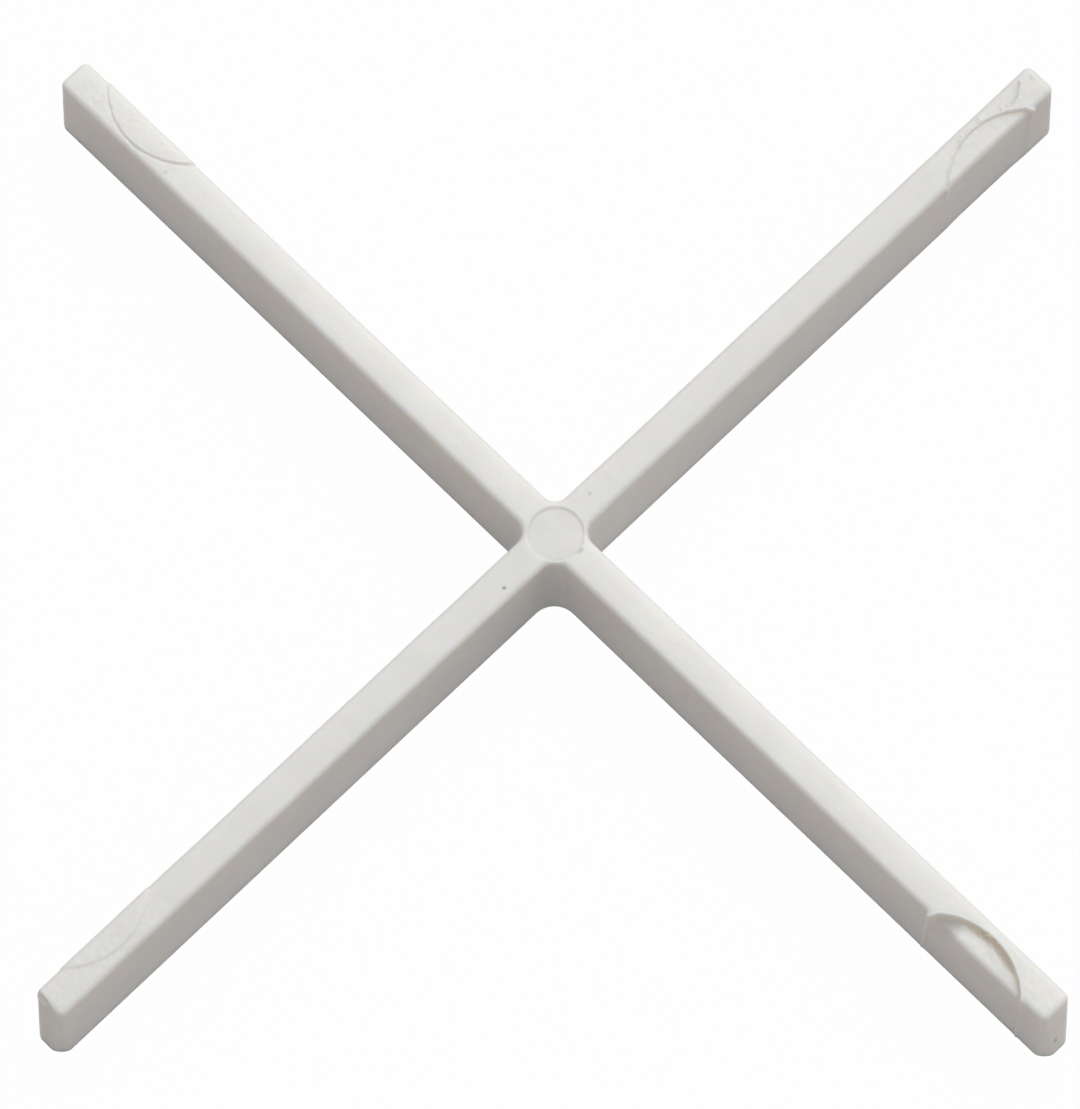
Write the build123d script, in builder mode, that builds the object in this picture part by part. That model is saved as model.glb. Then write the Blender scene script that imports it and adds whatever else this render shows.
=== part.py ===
"""A cross-shaped tile spacer, moulded in one piece.

Four arms stand at right angles round a small hub. Each pair of arms in line sets the joint between two
rows of tiles, and the four crotches take the corners of four tiles. The arms are tall and narrow. Every
side leans in towards the top, so that the cross pulls out of its mould, and the ends lean more than the
sides. The crotches and the upright corners at the ends are rounder at the base than at the top.

The top face was formed at the bottom of the mould, where five round ejector pins push the cross out. A
small pin stands at the hub. A large one stands beside the end of each arm and overlaps half of it, so
the slot of the mould carries on across the pin's face. Where a pin sits high, its face leaves a sunk
patch with a sloping rim, and where it sits low, a raised one. Plastic that crept into the gap round a
pin stands as a thin fin, which crosses the top and runs down the side of the arm.

The origin is the centre of the hub on the flat base. +Z is up, and the arms lie along X and Y.
Lengths are in millimetres and angles in degrees.
"""

import os
from math import radians, tan

from build123d import *

# The cross
joint_width = 1.5  # width of an arm at its base, which sets the joint between tiles
arm_reach = 25.7  # centre of the hub to the end of an arm, at its base
height = 4.2  # base to top face
draft = 1.0  # lean of the arms' sides
end_draft = 3.5  # lean of the arms' ends
crotch_radius = {"base": 0.85, "top": 0.55}  # inner corner between two arms
tip_radius = {"base": 0.6, "top": 0.25}  # upright corners at the end of an arm
top_edge_radius = 0.15  # rounding of the upper edges

# The hub's pin mark, a shallow dish
hub_pin_radius = 1.0
hub_mark_depth = 0.06
hub_mark_slope = 0.05  # how far the dish's rim slopes out from the pin's edge
hub_mark_tilt = 2.0  # lean of the pin's face, which leaves the dish deepest towards the -X arm

# The nick in the end of the -X arm, where a flake came off the upper edge
nick_depth = 0.3  # down from the top face, at the arm's +Y side
nick_width = 0.75  # across the arm, from its +Y side to where the nick runs out
nick_back = 0.5  # back from the end of the arm at its base

# The arms' pin marks
pin_radius = 3.0
pin_setback = 3.8  # end of the arm back to the pin's axis
pin_overlap = 0.3  # how far the pin reaches past the arm's middle
fin_thickness = 0.06  # the gap round a pin, which the plastic crept into
fin_side = 0.02  # how far a fin stands out of the arm's side

# One row for each arm, anticlockwise from +X: how far the pin's patch stands above the top face, how
# far its side stands out, the run of the sloping rim round a sunk patch, and the height of the fin
arm_marks = [
    {"level": -0.12, "skin": -0.03, "rim": 0.06, "fin": 0.05},
    {"level": 0.06, "skin": 0.02, "rim": 0.0, "fin": 0.0},
    {"level": 0.03, "skin": 0.01, "rim": 0.0, "fin": 0.0},
    {"level": -0.30, "skin": 0.01, "rim": 0.28, "fin": 0.06},
]

pin_along = arm_reach - pin_setback
pin_across = pin_radius - pin_overlap
spare = 1.0  # how far a cut runs past the face that it opens
through = height + 2 * spare


def corner_radius(corner, level):
    """The radius that an upright corner has come to at a level."""
    return corner["base"] + (corner["top"] - corner["base"]) * level / height


def cross_outline(level, skin):
    """The outline of the cross at a level, with each side stood out by skin."""
    width = joint_width + 2 * (skin - level * tan(radians(draft)))
    span = 2 * (arm_reach + skin - level * tan(radians(end_draft)))
    with BuildSketch(Plane.XY.offset(level)) as outline:
        Rectangle(span, width)
        Rectangle(width, span)
        corners = outline.vertices().sort_by_distance((0, 0, 0))
        fillet(corners[:4], corner_radius(crotch_radius, level) - skin)
        corners = outline.vertices().sort_by_distance((0, 0, 0))
        fillet(corners[-8:], corner_radius(tip_radius, level) + skin)
    return outline.sketch


def moulded_cross(level, skin=0.0):
    """The plain cross with its top at level, and each side stood out by skin."""
    with BuildPart() as lofted:
        loft([cross_outline(0, skin), cross_outline(level, skin)], ruled=True)

    # The tiles bear on the flat walls, so these are made true planes
    walls = [Face(wall.outer_wire()) if wall.is_planar else wall for wall in lofted.faces()]
    with BuildPart() as cross:
        add(Solid(Shell(walls)))
        fillet(cross.faces().sort_by(Axis.Z)[-1].edges(), top_edge_radius)
    return cross.part


def pin_place(quarter):
    """The foot of a large pin's axis, beside the arm that is this many quarter turns from +X."""
    return Vector(pin_along, -pin_across).rotate(Axis.Z, 90 * quarter)


def pin_patch(quarter, mark):
    """What the slot across a pin's face moulds: a stretch of the arm at the pin's own level."""
    with BuildPart() as patch:
        add(moulded_cross(height + mark["level"], mark["skin"]))
        with BuildSketch(Plane.XY.offset(-spare)) as pin:
            with Locations(pin_place(quarter)):
                Circle(pin_radius)
        extrude(amount=through, mode=Mode.INTERSECT)
    return patch.part


def pin_rim(quarter, mark):
    """The slope from the top face down to a sunk patch, just inside the pin's edge."""
    floor = height + mark["level"]
    place = pin_place(quarter)
    with BuildPart() as rim:
        with BuildSketch(Plane(place, x_dir=(1, 0, 0), z_dir=(0, -1, 0))):
            with BuildLine():
                Polyline(
                    (pin_radius - mark["rim"], floor),
                    (pin_radius, floor),
                    (pin_radius, height),
                    close=True,
                )
            make_face()
        revolve(axis=Axis(place, (0, 0, 1)))
        add(moulded_cross(height), mode=Mode.INTERSECT)
    return rim.part


def pin_fin(quarter, mark):
    """The thin fin round a pin, over the top of the arm and down its side."""
    with BuildPart() as fin:
        add(moulded_cross(height + mark["fin"], fin_side))
        with BuildSketch(Plane.XY.offset(-spare)) as gap:
            with Locations(pin_place(quarter)):
                Circle(pin_radius + fin_thickness)
                Circle(pin_radius, mode=Mode.SUBTRACT)
        extrude(amount=through, mode=Mode.INTERSECT)
    return fin.part


patches = [pin_patch(quarter, mark) for quarter, mark in enumerate(arm_marks)]
rims = [pin_rim(quarter, mark) for quarter, mark in enumerate(arm_marks) if mark["rim"]]
fins = [pin_fin(quarter, mark) for quarter, mark in enumerate(arm_marks) if mark["fin"]]

with BuildPart() as cross_spacer:
    add(moulded_cross(height))

    # The mould's slots stop at each large pin
    with BuildSketch(Plane.XY.offset(-spare)) as pins:
        with Locations(*[pin_place(quarter) for quarter in range(len(arm_marks))]):
            Circle(pin_radius)
    extrude(amount=through, mode=Mode.SUBTRACT)
    add(patches)
    add(rims)
    add(fins)

    # The hub's pin leaves a shallow dish
    pin_axis = Axis((0, 0, height), Vector(0, 0, 1).rotate(Axis.Y, -hub_mark_tilt))
    with BuildSketch(Plane(pin_axis.position, x_dir=pin_axis.direction.rotate(Axis.Y, 90), z_dir=(0, -1, 0))):
        with BuildLine():
            Polyline(
                (0, -hub_mark_depth),
                (hub_pin_radius, -hub_mark_depth),
                (hub_pin_radius + hub_mark_slope, 0),
                (hub_pin_radius + hub_mark_slope, spare),
                (0, spare),
                close=True,
            )
        make_face()
    revolve(axis=pin_axis, mode=Mode.SUBTRACT)

    # The flake came off along a slope that rises across the arm
    with BuildSketch(Plane.YZ.offset(nick_back - arm_reach)) as flake:
        with BuildLine():
            Polyline(
                (joint_width / 2, height - nick_depth),
                (joint_width / 2, height + spare),
                (joint_width / 2 - nick_width, height + spare),
                (joint_width / 2 - nick_width, height),
                close=True,
            )
        make_face()
    extrude(amount=-nick_back - spare, mode=Mode.SUBTRACT)

cross_spacer.part.label = "cross_spacer"

os.makedirs("parts", exist_ok=True)
export_step(cross_spacer.part, "parts/cross_spacer.step")
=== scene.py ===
from math import cos, pi, radians, sin, tan

import bmesh
import bpy
import numpy as np
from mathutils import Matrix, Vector, noise


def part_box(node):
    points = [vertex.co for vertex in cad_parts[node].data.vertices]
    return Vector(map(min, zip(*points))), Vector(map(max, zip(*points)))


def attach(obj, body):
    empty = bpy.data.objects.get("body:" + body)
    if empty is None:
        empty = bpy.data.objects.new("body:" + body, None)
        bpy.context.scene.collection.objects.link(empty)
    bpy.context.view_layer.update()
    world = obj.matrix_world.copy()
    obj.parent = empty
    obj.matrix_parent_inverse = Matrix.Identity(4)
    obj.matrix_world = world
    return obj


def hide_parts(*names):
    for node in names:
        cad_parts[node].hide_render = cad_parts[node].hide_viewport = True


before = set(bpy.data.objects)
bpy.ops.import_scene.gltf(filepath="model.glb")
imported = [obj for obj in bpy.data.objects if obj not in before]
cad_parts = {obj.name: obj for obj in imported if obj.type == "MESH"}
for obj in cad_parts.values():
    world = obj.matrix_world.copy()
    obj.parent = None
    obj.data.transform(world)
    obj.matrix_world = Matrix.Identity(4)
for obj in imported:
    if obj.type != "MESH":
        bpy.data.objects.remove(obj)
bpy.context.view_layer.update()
mm = 0.001

# The moulding is a cross of solid white plastic, injection moulded in one shot. Its arms are tall and
# narrow, its sides lean in towards the top, and its upper edges are slightly rounded. One quarter is
# shaped, cut finely where the ejector pins left their marks, and turned round the hub three times.
joint_width = 1.5 * mm
height = 4.2 * mm
arm_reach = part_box("cross_spacer")[1].x
draft = radians(1)
end_draft = radians(5.5)
crotch_radius = {"base": 0.95 * mm, "top": 0.55 * mm}
tip_radius = {"base": 0.5 * mm, "top": 0.25 * mm}
tip_profile = {"base": 0.4, "top": 0.5}  # at the base, the tips' corners are nearer to flats
top_edge_radius = 0.21 * mm
hair = 0.001 * mm

# The flat top of an arm: half its width, and how far it reaches from the hub
flat_half = joint_width / 2 - height * tan(draft) - top_edge_radius
flat_reach = arm_reach - height * tan(end_draft) - top_edge_radius


def select(kind, wanted=lambda part: True):
    """Selects the parts of one kind that are wanted in the mesh being edited."""
    bpy.ops.mesh.select_mode(type={"verts": "VERT", "edges": "EDGE", "faces": "FACE"}[kind])
    bpy.ops.mesh.select_all(action="DESELECT")
    edited = bmesh.from_edit_mesh(bpy.context.edit_object.data)
    for part in getattr(edited, kind):
        if wanted(part):
            part.select_set(True)
    edited.select_flush_mode()
    bmesh.update_edit_mesh(bpy.context.edit_object.data)


def cross_outline(end, level):
    """Lays out the cross at its base or its top, as one flat face."""
    half = joint_width / 2 - level * tan(draft)
    reach = arm_reach - level * tan(end_draft)
    bpy.ops.object.select_all(action="DESELECT")
    bpy.ops.mesh.primitive_plane_add(size=2 * half, location=(0, 0, level))
    outline = bpy.context.object
    bpy.ops.object.transform_apply(location=True)
    bpy.ops.object.mode_set(mode="EDIT")
    for side in ((1, 0), (0, 1), (-1, 0), (0, -1)):
        way = Vector((*side, 0))
        place = way * half + Vector((0, 0, level))
        select("edges", lambda e: ((e.verts[0].co + e.verts[1].co) / 2 - place).length < hair)
        bpy.ops.mesh.extrude_region_move(TRANSFORM_OT_translate={"value": way * (reach - half)})
    select("faces")
    bpy.ops.mesh.dissolve_faces()
    select("verts", lambda v: max(abs(v.co.x), abs(v.co.y)) < half + hair)
    bpy.ops.mesh.bevel(affect="VERTICES", offset=crotch_radius[end], segments=12)
    select("verts", lambda v: max(abs(v.co.x), abs(v.co.y)) > reach - hair)
    bpy.ops.mesh.bevel(affect="VERTICES", offset=tip_radius[end], segments=8, profile=tip_profile[end])
    bpy.ops.object.mode_set(mode="OBJECT")
    return outline


base = cross_outline("base", 0)
moulding = cross_outline("top", height)
moulding.name = "moulded_cross"
base.select_set(True)
bpy.ops.object.join()
bpy.ops.object.mode_set(mode="EDIT")
select("edges")
bpy.ops.mesh.bridge_edge_loops()
select("faces")
bpy.ops.mesh.normals_make_consistent(inside=False)
select("edges", lambda e: min(v.co.z for v in e.verts) > height - hair)
bpy.ops.mesh.bevel(offset=top_edge_radius, segments=5)

# One quarter is the +X arm, with the hub cut along its two diagonals
for normal in ((-1, 1, 0), (-1, -1, 0)):
    select("faces")
    bpy.ops.mesh.bisect(plane_co=(0, 0, 0), plane_no=normal, clear_outer=True, threshold=hair)

# The zones of the quarter, and the size of the faces that each is cut into
hub_zone = 1.75 * mm  # the hub's mark lies within this distance of the middle
mark_zone = 18.6 * mm  # the arms' marks lie beyond this distance
end_zone = 25.0 * mm
nick_zone = height - 1.0 * mm  # the nick lies above this level
top_zone = height - 0.1 * mm
above_foot = 0.1 * mm
hub_step = 0.07 * mm
mark_step = 0.06 * mm
nick_step = 0.05 * mm
plain_length, plain_width = 0.4 * mm, 0.25 * mm
side_levels = [share * height for share in (0.22, 0.43, 0.62, 0.76, 0.86, 0.92)]


def middle(face):
    """The middle of a face."""
    return face.calc_center_median()


def on_top(face, start, end):
    """Whether a face lies on the top of the arm, between two distances from the hub."""
    return start < middle(face).x < end and middle(face).z > top_zone


def in_mark_zone(face):
    """Whether a face lies in the zone of the arm's mark, above its foot."""
    return middle(face).x > mark_zone and middle(face).z > above_foot


def steps(start, end, size):
    """Places at even steps from start to end, both left out."""
    count = round((end - start) / size)
    return [start + (end - start) * i / count for i in range(1, count)]


def cut(axis, places, wanted=lambda face: True):
    """Cuts the wanted faces across one axis at each of the places."""
    normal = Vector([axis == name for name in "xyz"])
    for place in places:
        select("faces", wanted)
        bpy.ops.mesh.bisect(plane_co=normal * place, plane_no=normal, threshold=hair)


cut("x", steps(0, hub_zone, hub_step) + [hub_zone])
cut("x", steps(hub_zone, mark_zone, plain_length) + [mark_zone])
cut("x", steps(mark_zone, flat_reach, mark_step) + [flat_reach])
cut("z", side_levels)
cut("z", steps(nick_zone, height - top_edge_radius, nick_step), lambda f: middle(f).x > end_zone)
cut("y", steps(-hub_zone, hub_zone, hub_step), lambda f: on_top(f, 0, hub_zone))
cut("y", steps(-flat_half, flat_half, plain_width), lambda f: on_top(f, hub_zone, mark_zone))
cut("y", steps(-flat_half, flat_half, mark_step), in_mark_zone)

# The marks themselves are cut finer still
hub_mark_radius = 0.96 * mm
hub_mark_slope = 0.12 * mm  # how far the dish's rim slopes out from the pin's edge
dish_rim_half = 0.2 * mm
pin_radius = 3.0 * mm
pin_along = arm_reach - 3.8 * mm
pin_across = pin_radius - 0.3 * mm
pin_edge_start, pin_edge_end = -0.42 * mm, 0.2 * mm  # past the pin's edge
scratch_start, scratch_end = pin_along + 1.7 * mm, pin_along + 2.7 * mm
scratch_side = -0.1 * mm
blister_margin = 0.03 * mm

# The +X arm's blisters: each one's place past the pin's axis and across the arm, its radius and its
# rise, in millimetres. One that falls is a pit in the blister before it.
blisters = [
    (0.48, 0.4, 0.13, 0.0675),
    (0.48, 0.4, 0.065, -0.09),
    (-0.6, 0.33, 0.1, 0.075),
    (-0.42, 0.4, 0.07, 0.0525),
    (1.42, 0.12, 0.11, 0.0525),
    (1.64, 0.05, 0.08, 0.0675),
    (3.12, 0.2, 0.14, 0.0525),
    (2.68, 0.5, 0.1, 0.0375),
]


def by_pin_edge(face):
    """Whether a face lies along the edge of the arm's pin, on the top or the side."""
    x, y, z = middle(face)
    past_edge = np.hypot(x - pin_along, y + pin_across) - pin_radius
    return in_mark_zone(face) and pin_edge_start < past_edge < pin_edge_end


def by_scratch(face):
    """Whether a face lies near the scratch, and hasn't been cut along the pin's edge."""
    beside = on_top(face, scratch_start, scratch_end) and middle(face).y > scratch_side
    return beside and not by_pin_edge(face)


def by_blister(face):
    """Whether a face lies on a blister, and hasn't been cut yet."""
    x, y, z = middle(face)
    apart = [np.hypot(x - pin_along - b[0] * mm, y - b[1] * mm) - b[2] * mm for b in blisters]
    close = z > top_zone and min(apart) < blister_margin
    return close and not by_pin_edge(face) and not by_scratch(face)


def by_dish_rim(face):
    """Whether a face lies along the rim of the hub's dish."""
    x, y, z = middle(face)
    return z > top_zone and abs(np.hypot(x, y) - hub_mark_radius) < dish_rim_half


for finely in (by_pin_edge, by_scratch, by_blister, by_dish_rim):
    select("faces", finely)
    bpy.ops.mesh.subdivide(number_cuts=2)
bpy.ops.object.mode_set(mode="OBJECT")

quarters = [moulding]
for turn in (1, 2, 3):
    bpy.ops.object.select_all(action="DESELECT")
    moulding.select_set(True)
    bpy.context.view_layer.objects.active = moulding
    bpy.ops.object.duplicate()
    bpy.ops.transform.rotate(value=turn * pi / 2, orient_axis="Z", center_override=(0, 0, 0))
    bpy.ops.object.transform_apply(location=True, rotation=True, scale=True)
    quarters.append(bpy.context.object)
for quarter in quarters:
    quarter.select_set(True)
bpy.context.view_layer.objects.active = moulding
bpy.ops.object.join()
bpy.ops.object.mode_set(mode="EDIT")
select("faces")
bpy.ops.mesh.remove_doubles(threshold=hair)
select("faces")
bpy.ops.mesh.normals_make_consistent(inside=False)
bpy.ops.object.mode_set(mode="OBJECT")

# The ejector pins' marks. A small pin stands at the hub and leaves a shallow dish. A large one stands on
# the clockwise side of each arm's end, and its edge crosses the top of the arm in an arc. The four were
# fitted and worn differently, so each arc is a step, a fin or a tear of its own.
points = np.empty(len(moulding.data.vertices) * 3)
moulding.data.vertices.foreach_get("co", points)
points = points.reshape(-1, 3)
stain = np.zeros(len(points))


def ease(start, end, value):
    """0 before start, 1 after end, and a smooth rise between them."""
    share = np.clip((value - start) / (end - start), 0, 1)
    return share * share * (3 - 2 * share)


def ramp(start, end, value):
    """0 before start, 1 after end, and a straight rise between them."""
    return np.clip((value - start) / (end - start), 0, 1)


def ridge(centre, half_width, value):
    """1 at the centre, falling smoothly to 0 at half_width on either side."""
    return 1 - ease(0, half_width, np.abs(value - centre))


def grain(chosen, size, seed):
    """Smooth noise from about -1 to 1 at the chosen vertices, with features of that many millimetres."""
    shift = Vector((seed * 7.31, seed * 3.77, seed * 5.13))
    return np.array([noise.noise(Vector(p) / (size * mm) + shift) for p in points[chosen]])


snap_reach = 0.009 * mm


def ring_snap(chosen, centre, rings):
    """Draws chosen vertices that lie close to a ring round the centre onto it, for crisp steps."""
    offset = points[chosen, :2] - centre
    from_centre = np.hypot(*offset.T)
    drawn = from_centre.copy()
    for ring in rings:
        drawn = np.where(np.abs(from_centre - ring) < snap_reach, ring, drawn)
    points[chosen, :2] = centre + offset * (drawn / from_centre)[:, None]


level_top = points[:, 2] > height - hair

# How much of a move of the top each vertex takes, which fades out down the sides
top_share = ease(height - 2.2 * mm, height - 0.5 * mm, points[:, 2])

# The hub's pin stood a little off the middle, and its dish is deepest towards the -X arm
dish_middle = np.array([-0.05, -0.1]) * mm
dish_depth = 0.12 * mm
dish_tilt = radians(2.5)
dish_edge = hub_mark_radius + hub_mark_slope
from_hub = np.hypot(points[:, 0], points[:, 1])
near = np.flatnonzero((points[:, 2] > top_zone) & (from_hub < hub_zone))
ring_snap(near, dish_middle, (hub_mark_radius, hub_mark_radius + hub_mark_slope / 2, dish_edge))
from_middle = np.hypot(*(points[near, :2] - dish_middle).T)
dish = 1 - ease(hub_mark_radius, dish_edge, from_middle)
points[near, 2] -= dish * (dish_depth - points[near, 0] * tan(dish_tilt))


def arm_ways(turn):
    """Unit vectors along an arm and across it, towards its anticlockwise side."""
    return np.array([(1, 0, 0), (0, 1, 0), (-1, 0, 0), (0, -1, 0)])[[turn, (turn + 1) % 4]]


def mark_of(turn, rings=(), shift=(0, 0)):
    """The vertices near an arm's mark, and their places along the arm from the pin's axis, across the
    arm, and past the pin's edge, in millimetres. The top is drawn crisp at the rings past that edge."""
    along_way, across_way = arm_ways(turn)
    centre = ((pin_along + shift[0] * mm) * along_way - (pin_across - shift[1] * mm) * across_way)[:2]
    near = np.flatnonzero(points @ along_way > mark_zone)
    ring_snap(near[level_top[near]], centre, [pin_radius + ring * mm for ring in rings])
    along = (points[near] @ along_way - pin_along) / mm
    across = points[near] @ across_way / mm
    past_edge = (np.hypot(*(points[near, :2] - centre).T) - pin_radius) / mm
    return near, along, across, past_edge


def move(near, turn, across, up, out):
    """Moves vertices up, and those on the arm's clockwise side out of it, by so many millimetres."""
    points[near, 2] += up * mm * top_share[near]
    points[near] -= np.outer(out * mm * ease(0.5, 0.6, -across), arm_ways(turn)[1])


def off_path(along, across, path):
    """Distance from a path of places along and across an arm."""
    spots = np.column_stack([along, across])
    path = np.array(path)
    gaps = []
    for start, end in zip(path, path[1:]):
        share = np.clip((spots - start) @ (end - start) / ((end - start) @ (end - start)), 0, 1)
        gaps.append(np.hypot(*(spots - start - np.outer(share, end - start)).T))
    return np.min(gaps, axis=0)


# +X arm: the pin sat high, and a fin stands round its sunk patch and flares at both ends. The sizes of
# the four arms' marks are in millimetres.
patch_depth = 0.11
wall_run = 0.06
side_depth = 0.03
fin_rise = 0.055
flare_out = 0.06
near, along, across, past_edge = mark_of(0, rings=(-wall_run, 0, 0.03, 0.07))
ragged = grain(near, 0.16, 1)
inside = 1 - ramp(-wall_run, 0, past_edge)
ends = ease(1.4, 2.1, np.abs(along))
fin = ridge(0.03, 0.05, past_edge) * (0.5 + 0.8 * ragged + 0.7 * ends)
flare = ridge(0.04, 0.12, past_edge) * top_share[near] ** 3 * (1 + 0.8 * (along > 0))
sunk_side = 1 - ease(-0.7, 0, past_edge)
up = fin_rise * fin - patch_depth * inside
move(near, 0, across, up, flare_out * flare - side_depth * sunk_side)
stain[near] += 0.25 * inside * ridge(-0.12, 0.25, past_edge) * ease(0.2, 1.4, along)

# A scratch with raised lips lies by the arm's end, and small blisters along the fin
scratch_depth = 0.1
scratch_lip = 0.03
off_scratch = off_path(along, across, [(2.6, 0.41), (2.35, 0.22), (2.15, 0.08), (1.87, 0.01)])
scratch = scratch_lip * ridge(0.09, 0.035, off_scratch) - scratch_depth * ridge(0, 0.06, off_scratch)
points[near, 2] += scratch * mm * level_top[near]
for place_along, place_across, radius, rise in blisters:
    gap = np.hypot(along - place_along, across - place_across)
    points[near, 2] += rise * mm * ridge(0, radius, gap) * level_top[near]

# +Y arm: the pin sat low, with a fine groove round its raised patch. The groove is faintest towards the
# tip, and has a small pit where it fades.
patch_rise = 0.04
side_rise = 0.03
groove_depth = 0.065
pit_depth = 0.05
near, along, across, past_edge = mark_of(1, rings=(-0.03, 0.025, 0.08), shift=(-0.12, 0.1))
ragged = grain(near, 0.4, 2)
inside = 1 - ease(-0.03, 0.025, past_edge)
faint = 1 - 0.6 * ease(1.2, 1.5, along)
groove = ridge(0.025, 0.08, past_edge) * (0.8 + 0.6 * ragged) * faint
pit = ridge(0, 0.1, off_path(along, across, [(1.36, -0.02), (1.3, 0.02)]))
up = patch_rise * inside - groove_depth * groove - pit_depth * pit
move(near, 1, across, up, side_rise * inside)

# -X arm: the pin sat almost flush, and its patch is edged by a soft step
patch_rise = 0.055
side_rise = 0.02
near, along, across, past_edge = mark_of(2)
inside = 1 - ease(-0.1, 0.02, past_edge)
move(near, 2, across, patch_rise * inside, side_rise * inside)

# -Y arm: the pin sat highest. The middle of the wall round its patch is torn and slopes, the hub end of
# the patch falls away to the side, and the fin is thickest there.
patch_depth = 0.3
fall_depth = 0.3
side_depth = 0.16
fin_rise = 0.06
flare_out = 0.07
seam_out = 0.025
crumbs = 0.015
near, along, across, past_edge = mark_of(3, rings=(0, 0.04, 0.09))
coarse = grain(near, 0.4, 3)
ragged = grain(near, 0.12, 4)
torn = ease(-1.4, -0.4, along) * (1 - ease(0.8, 1.5, along))
jagged = ridge(0, 0.8, along)
hub_end = 1 - ease(-1.6, -1.1, along)
tip_end = ease(1.4, 1.9, along)
wall_run = 0.07 + torn * (0.24 + 0.06 * coarse + 0.03 * ragged)
brink = np.clip(0.06 * coarse + 0.09 * ragged, 0, None) * jagged  # how far the brink has crumbled back
climb = ramp(-wall_run, 0, past_edge + brink)
fall = (1 - ease(-1.6, -0.9, along)) * (1 - climb)
fin = ridge(0.045, 0.06, past_edge) * (0.25 + 0.4 * ragged * jagged + 0.9 * hub_end + 0.3 * tip_end)
flare = ridge(0.05, 0.14, past_edge) * top_share[near] ** 3 * (1.6 * hub_end + 0.5 * tip_end)
seam = ridge(0.06, 0.08, past_edge) * (hub_end + tip_end)
sunk_side = fall * (1 - ease(-0.2, 0, past_edge)) * top_share[near] ** 2
up = patch_depth * (climb**1.5 - 1) - fall_depth * fall * ease(-0.15, 0.6, -across) + fin_rise * fin
up += crumbs * ragged * torn * (climb > 0) * (climb < 1)
move(near, 3, across, up, flare_out * flare + seam_out * seam - side_depth * sunk_side)
stain[near] += ease(0, 0.6, climb) * (1 - ramp(0.9, 1, climb)) * (0.35 + 0.65 * torn)

# A flake came off the upper edge of the -X arm's end, and left a low wall over a ledge with a soft lip
wall_setback = 0.15
ledge_top, ledge_foot = 0.26, 0.29  # below the top of the arm
lip_out = 0.03
along_way, across_way = arm_ways(2)
near = np.flatnonzero(points @ along_way > end_zone - 0.3 * mm)
across = points[near] @ across_way / mm
from_end = (points[near] @ along_way - arm_reach + points[near, 2] * tan(end_draft)) / mm
below_top = (height - points[near, 2]) / mm + 0.05 * grain(near, 0.2, 6)
broken = 1 - ease(-0.4, 0.35, across + 0.08 * grain(near, 0.25, 5))
setback = wall_setback * (1 - ramp(ledge_top, ledge_foot, below_top)) * broken
lip = lip_out * ridge(0.32, 0.3, below_top) * broken * ease(-0.5, -0.1, from_end)
points[near] += np.outer((lip - np.clip(from_end + setback, 0, None)) * mm, along_way)

# The tops are finely scuffed towards the arms' ends
scuff_height = 0.014 * mm
along_arm = np.abs(points[:, :2]).max(axis=1)
near = np.flatnonzero(level_top & (along_arm > mark_zone))
scuffs = grain(near, 0.22, 7) + 0.6 * grain(near, 0.45, 8)
points[near, 2] += scuff_height * scuffs * ease(mark_zone, mark_zone + 2 * mm, along_arm[near])

# The tops are slightly crowned, and every face has the faint waves of a cheap moulding. The seed gives
# the same waves in each run.
top_crown = 0.012 * mm  # how far the middle of an arm's top stands above its edges
wave_length = 1.8 * mm
wave_height = np.array([0.012, 0.012, 0.008]) * mm
noise.seed_set(1)
from_axis = np.minimum(np.abs(points[:, 0]), np.abs(points[:, 1]))
waves = np.array([noise.noise_vector(Vector(p) / wave_length) for p in points])
points[:, 2] -= top_crown * (np.clip(from_axis / flat_half, 0, 1.3) ** 2) * top_share
points += waves * wave_height * ease(0, 0.9 * mm, points[:, 2])[:, None]

moulding.data.vertices.foreach_set("co", points.ravel())
moulding.data.attributes.new("stain", "FLOAT", "POINT").data.foreach_set("value", np.clip(stain, 0, 1))
moulding.data.update()
bpy.ops.object.select_all(action="DESELECT")
moulding.select_set(True)
bpy.context.view_layer.objects.active = moulding
bpy.ops.object.shade_smooth_by_angle(angle=radians(40))
weighted = moulding.modifiers.new("weighted", "WEIGHTED_NORMAL")
weighted.keep_sharp = True
bpy.ops.object.modifier_apply(modifier="weighted")

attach(moulding, "root")
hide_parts("cross_spacer")


# The plastic is a warm white, fine and matt. It is very slightly mottled, carries a few specks, and is
# discoloured where it tore. The pair of arms along X is painted a little darker, as painted shade for
# the dimmer light on their tops.
class Wire:
    """A value in a material, with the arithmetic that makes its Math nodes."""

    def __init__(self, tree, value=None):
        self.tree = tree
        self.value = value

    def node(self, kind, settings=(), feeds=(), out=0):
        """Adds a node, sets it up, feeds its sockets, and returns one of its outputs."""
        made = self.tree.nodes.new(kind)
        for name, setting in dict(settings).items():
            setattr(made, name, setting)
        for name, feed in dict(feeds).items():
            if isinstance(feed, Wire):
                self.tree.links.new(feed.value, made.inputs[name])
            else:
                made.inputs[name].default_value = feed
        return Wire(self.tree, made.outputs[out] if made.outputs else None)

    def maths(self, operation, first, second):
        """Adds a Math node for one operation on two values."""
        return self.node("ShaderNodeMath", {"operation": operation}, {0: first, 1: second})

    def __add__(self, other):
        return self.maths("ADD", self, other)

    def __radd__(self, other):
        return self.maths("ADD", other, self)

    def __sub__(self, other):
        return self.maths("SUBTRACT", self, other)

    def __rsub__(self, other):
        return self.maths("SUBTRACT", other, self)

    def __mul__(self, other):
        return self.maths("MULTIPLY", self, other)

    def __rmul__(self, other):
        return self.maths("MULTIPLY", other, self)


warm_white = (0.805, 0.8, 0.775, 1), (0.83, 0.825, 0.8, 1)
torn_colour = (0.62, 0.54, 0.43, 1)
speck_colour = (0.16, 0.14, 0.12, 1)
# Painted shade: how much darker the arms along X are painted, for the dimmer light on their tops
x_arms_painted_shade = 0.06
stain_strength = 0.75

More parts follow.
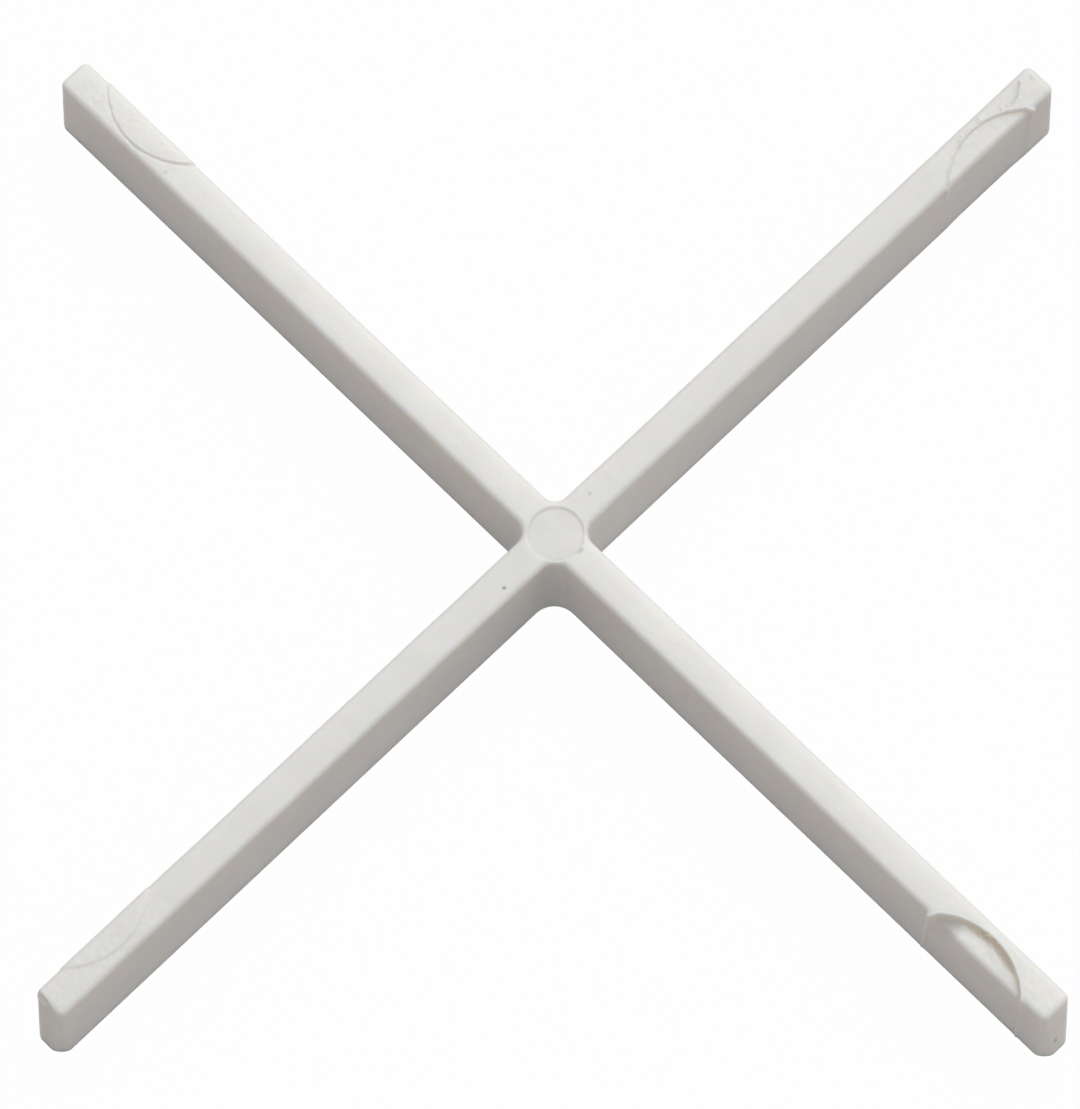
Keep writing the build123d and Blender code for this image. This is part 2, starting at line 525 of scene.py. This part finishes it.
# Each speck's place and radius in millimetres, and how dark it is. Those in a row make one long speck.
specks = [
    ((-2.84, -0.26, 4.2), 0.1, 0.6),
    ((1.9, 0.13, 4.2), 0.1, 0.2),
    ((0.05, -1.18, 4.2), 0.13, 0.2),
    ((0.18, -1.19, 4.2), 0.13, 0.2),
    ((-0.32, 20.0, 4.2), 0.1, 0.15),
    ((-0.15, -25.59, 1.1), 0.13, 0.3),
    ((-0.15, -25.58, 1.25), 0.13, 0.3),
    ((-0.15, -25.56, 1.4), 0.13, 0.3),
]


def white_plastic():
    """Makes the plastic."""
    material = bpy.data.materials.new("white_plastic")
    material.use_nodes = True
    tree = material.node_tree
    tree.nodes.clear()
    start = Wire(tree)
    place = start.node("ShaderNodeTexCoord", out="Object")

    def noise_of(size, detail=2.0):
        """Noise with features of that size."""
        feeds = {"Vector": place, "Scale": 1 / size, "Detail": detail}
        return start.node("ShaderNodeTexNoise", feeds=feeds)

    def blend(share, first, second):
        """A mix of two colours, with that share of the second."""
        feeds = {0: share, 6: first, 7: second}
        return start.node("ShaderNodeMix", {"data_type": "RGBA"}, feeds, out=2)

    def span(value, low, high, to_low=0.0, to_high=1.0):
        """A value smoothly brought from one range to another."""
        feeds = {"Value": value, "From Min": low, "From Max": high, "To Min": to_low, "To Max": to_high}
        return start.node("ShaderNodeMapRange", {"interpolation_type": "SMOOTHSTEP"}, feeds)

    mottle = span(noise_of(1.6 * mm), 0.3, 0.7)
    colour = blend(mottle, *warm_white)
    x, y = [start.node("ShaderNodeSeparateXYZ", feeds={"Vector": place}, out=axis) for axis in "XY"]
    # Painted shade: the pair of arms along X is darkened a little, for the dimmer light on their tops
    along_x = span(x * x - y * y, -2 * mm * mm, 2 * mm * mm)
    colour = blend(along_x * x_arms_painted_shade, colour, (0, 0, 0, 1))
    stained = start.node("ShaderNodeAttribute", {"attribute_name": "stain"}, out="Fac")
    colour = blend(stained * stain_strength, colour, torn_colour)

    dirt = 0.0
    for spot, radius, depth in specks:
        ends = {0: place, 1: [c * mm for c in spot]}
        away = start.node("ShaderNodeVectorMath", {"operation": "DISTANCE"}, ends, out="Value")
        dirt = dirt + span(away, 0.4 * radius * mm, radius * mm, depth, 0.0)
    colour = blend(dirt, colour, speck_colour)

    fine = noise_of(0.18 * mm, detail=3.0)
    uneven = fine + noise_of(0.7 * mm) * 2.0
    bump_feeds = {"Height": uneven, "Strength": 0.5, "Distance": 0.02 * mm}
    shader_feeds = {
        "Base Color": colour,
        "Roughness": span(fine, 0.3, 0.7, 0.45, 0.58),
        "Normal": start.node("ShaderNodeBump", feeds=bump_feeds),
        "Specular IOR Level": 0.4,
        "Subsurface Weight": 0.6,
        "Subsurface Radius": (1.0, 0.75, 0.55),
        "Subsurface Scale": 1.0 * mm,
    }
    surface = start.node("ShaderNodeBsdfPrincipled", feeds=shader_feeds)
    start.node("ShaderNodeOutputMaterial", feeds={"Surface": surface})
    return material


moulding.data.materials.clear()
moulding.data.materials.append(white_plastic())

# The floor is a plain pale sheet. It keeps a faint shadow of the spacer, and shows as white.
floor_colour = (0.47, 0.41, 0.385, 1)
floor_white = 0.985  # how much of the white shows over the floor's own colour
bpy.ops.object.select_all(action="DESELECT")
bpy.ops.mesh.primitive_plane_add(size=4)
floor = bpy.context.object
floor.name = "floor"
floor_paint = bpy.data.materials.new("floor_paint")
floor_paint.use_nodes = True
floor_paint.node_tree.nodes.clear()
paint = Wire(floor_paint.node_tree)
ray_kinds = ("Camera", "Glossy", "Transmission")
rays = [paint.node("ShaderNodeLightPath", out=f"Is {kind} Ray") for kind in ray_kinds]
seen = rays[0] + rays[1] + rays[2]
matt = paint.node("ShaderNodeBsdfDiffuse", feeds={"Color": floor_colour})
glow = paint.node("ShaderNodeEmission", feeds={"Color": (1, 1, 1, 1), "Strength": 1.0})
both = paint.node("ShaderNodeMixShader", feeds={0: seen * floor_white, 1: matt, 2: glow})
paint.node("ShaderNodeOutputMaterial", feeds={"Surface": both})
floor.data.materials.append(floor_paint)

# The light is soft. It comes from above and from the far right, with a weaker fill from the right.
world = bpy.data.worlds.new("studio")
bpy.context.scene.world = world
world.use_nodes = True
world.node_tree.nodes["Background"].inputs["Color"].default_value = (1, 1, 1, 1)
world.node_tree.nodes["Background"].inputs["Strength"].default_value = 0.48


def lamp(name, azimuth, elevation, distance, size, power):
    """A square area lamp that points at the hub, placed as the camera is."""
    a, e = radians(azimuth), radians(elevation)
    light = bpy.data.lights.new(name, "AREA")
    light.size = size
    light.energy = power
    body = bpy.data.objects.new(name, light)
    bpy.context.scene.collection.objects.link(body)
    body.location = Vector((sin(a) * cos(e), -cos(a) * cos(e), sin(e))) * distance
    body.rotation_euler = (pi / 2 - e, 0, a)


lamp("key_lamp", azimuth=112, elevation=55, distance=1.2, size=0.8, power=8)
lamp("fill_lamp", azimuth=45, elevation=30, distance=0.6, size=0.4, power=0.2)

# The camera looks steeply down between the -X and -Y arms, through a long lens.
camera_azimuth = radians(-44.73)
camera_elevation = radians(70.8)
camera_distance = 283.8 * mm
aim_right = -0.541 * mm
aim_up = -0.858 * mm
focal_pixels = 7845
photo_height = 1109

camera = bpy.data.objects.new("camera", bpy.data.cameras.new("camera"))
bpy.context.scene.collection.objects.link(camera)
bpy.context.scene.camera = camera
camera.rotation_euler = (pi / 2 - camera_elevation, 0, camera_azimuth)
turned = camera.rotation_euler.to_matrix()
aim = Vector((0, 0, height)) + turned @ Vector((aim_right, aim_up, 0))
camera.location = aim + turned @ Vector((0, 0, camera_distance))
camera.data.sensor_width = 36
camera.data.lens = focal_pixels / photo_height * camera.data.sensor_width
camera.data.clip_start = 0.01

bpy.context.scene.view_settings.view_transform = "Standard"
